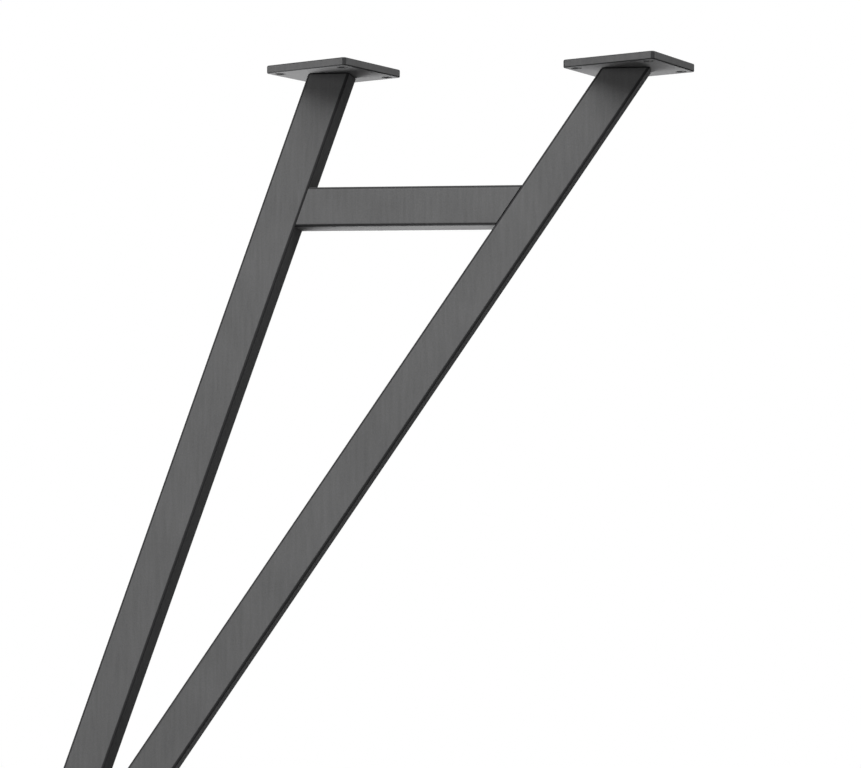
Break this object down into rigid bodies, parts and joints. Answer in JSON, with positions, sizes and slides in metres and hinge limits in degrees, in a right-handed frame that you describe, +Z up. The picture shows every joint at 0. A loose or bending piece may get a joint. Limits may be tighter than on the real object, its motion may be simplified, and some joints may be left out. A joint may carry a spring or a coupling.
{
  "type": "table leg",
  "caption": "V-shaped table leg in black square steel tube: slanted arms rise from one foot to bolt-on plates under the table, tied by a level crossbar.",
  "frame": {"origin": "centre of the foot's underside, on the floor", "axes": "+Z up, +X along the table towards its middle, +Y across the table towards its middle"},
  "size_m": [0.4568, 0.3088, 0.71],
  "materials": {
    "coated_tube": "black powder coat with a fine grain",
    "coated_plate": "black powder coat with a fine grain",
    "glide": "matt moulded plastic"
  },
  "bodies": {
    "root": {"outer_arm": "coated_tube", "inner_arm": "coated_tube", "crossbar": "coated_tube", "outer_mount_plate": "coated_plate", "inner_mount_plate": "coated_plate", "foot_plate": "coated_plate", "foot_glide": "glide"}
  },
  "joints": []
}
